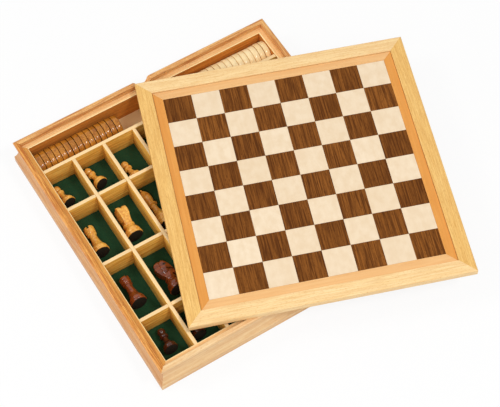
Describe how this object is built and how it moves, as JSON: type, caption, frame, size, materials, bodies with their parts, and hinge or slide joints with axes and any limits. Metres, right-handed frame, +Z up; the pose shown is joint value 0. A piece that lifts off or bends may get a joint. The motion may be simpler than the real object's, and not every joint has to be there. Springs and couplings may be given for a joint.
{
  "type": "games compendium box",
  "caption": "Shallow moulded wooden tray with felt-floored cells for chessmen and a bay of draughtsmen, under a loose framed lid inlaid as a chequered board.",
  "frame": {"origin": "middle of the tray's underside", "axes": "+Z up, +X to the right along the draughts bay, +Y to the back, where the bay is; the lid lies turned across the tray's right side at rest"},
  "size_m": [0.4099, 0.3725, 0.045],
  "materials": {
    "tray_wood": "satin varnish",
    "divider_wood": "satin varnish",
    "panel_wood": "satin varnish",
    "green_felt": "felt",
    "frame_wood": "satin varnish",
    "band_veneer": "satin varnish",
    "core_board": "bare fibreboard",
    "backing_veneer": "bare veneer",
    "walnut_veneer": "satin varnish",
    "maple_veneer": "satin varnish",
    "brown_stone_wood": "gloss varnish",
    "white_stone_wood": "gloss varnish",
    "light_man_wood": "gloss varnish",
    "dark_man_wood": "gloss varnish",
    "pad_felt": "felt"
  },
  "bodies": {
    "tray": {"tray_front_side": "tray_wood", "tray_right_side": "tray_wood", "tray_back_side": "tray_wood", "tray_left_side": "tray_wood", "tray_bottom": "panel_wood", "cell_felt": "green_felt", "bay_divider": "divider_wood", "row_divider_1": "divider_wood", "row_divider_2": "divider_wood", "row_divider_3": "divider_wood", "column_divider_1": "divider_wood", "column_divider_2": "divider_wood", "column_divider_3": "divider_wood", "column_divider_4": "divider_wood", "column_divider_5": "divider_wood", "column_divider_6": "divider_wood", "column_divider_7": "divider_wood", "white_draughtsmen_under_lid": "white_stone_wood", "light_pawns_under_lid": "light_man_wood", "light_pieces_under_lid": "light_man_wood", "dark_pawns_under_lid": "dark_man_wood", "dark_pieces_under_lid": "dark_man_wood"},
    "lid": {"lid_frame_front": "frame_wood", "inlay_band_front": "band_veneer", "lid_frame_right": "frame_wood", "inlay_band_right": "band_veneer", "lid_frame_back": "frame_wood", "inlay_band_back": "band_veneer", "lid_frame_left": "frame_wood", "inlay_band_left": "band_veneer", "board_core": "core_board", "board_backing": "backing_veneer", "dark_squares": "walnut_veneer", "light_squares": "maple_veneer"},
    "brown_draughtsmen_row": {"brown_draughtsmen": "brown_stone_wood"},
    "white_draughtsmen_row": {"white_draughtsmen_clear": "white_stone_wood"},
    "light_pawn_1": {"light_pawn_1": "light_man_wood", "light_pawn_1_pad": "pad_felt"},
    "light_pawn_2": {"light_pawn_2": "light_man_wood", "light_pawn_2_pad": "pad_felt"},
    "light_pawn_3": {"light_pawn_3": "light_man_wood", "light_pawn_3_pad": "pad_felt"},
    "light_rook_1": {"light_rook_1": "light_man_wood", "light_rook_1_pad": "pad_felt"},
    "light_knight_1": {"light_knight_1": "light_man_wood", "light_knight_1_pad": "pad_felt"},
    "dark_rook_1": {"dark_rook_1": "dark_man_wood", "dark_rook_1_pad": "pad_felt"},
    "dark_pawn_1": {"dark_pawn_1": "dark_man_wood", "dark_pawn_1_pad": "pad_felt"}
  },
  "joints": [
    {"name": "lid_lift", "type": "slide", "parent": "tray", "child": "lid", "axis": [0, 0, 1], "range_m": [0, 0.12]},
    {"name": "brown_draughtsmen_row_lift", "type": "slide", "parent": "tray", "child": "brown_draughtsmen_row", "axis": [0, 0, 1], "range_m": [0, 0.06]},
    {"name": "white_draughtsmen_row_lift", "type": "slide", "parent": "tray", "child": "white_draughtsmen_row", "axis": [0, 0, 1], "range_m": [0, 0.06]},
    {"name": "light_pawn_1_lift", "type": "slide", "parent": "tray", "child": "light_pawn_1", "axis": [0, 0, 1], "range_m": [0, 0.06]},
    {"name": "light_pawn_2_lift", "type": "slide", "parent": "tray", "child": "light_pawn_2", "axis": [0, 0, 1], "range_m": [0, 0.06]},
    {"name": "light_pawn_3_lift", "type": "slide", "parent": "tray", "child": "light_pawn_3", "axis": [0, 0, 1], "range_m": [0, 0.06]},
    {"name": "light_rook_1_lift", "type": "slide", "parent": "tray", "child": "light_rook_1", "axis": [0, 0, 1], "range_m": [0, 0.06]},
    {"name": "light_knight_1_lift", "type": "slide", "parent": "tray", "child": "light_knight_1", "axis": [0, 0, 1], "range_m": [0, 0.06]},
    {"name": "dark_rook_1_lift", "type": "slide", "parent": "tray", "child": "dark_rook_1", "axis": [0, 0, 1], "range_m": [0, 0.06]},
    {"name": "dark_pawn_1_lift", "type": "slide", "parent": "tray", "child": "dark_pawn_1", "axis": [0, 0, 1], "range_m": [0, 0.06]}
  ]
}
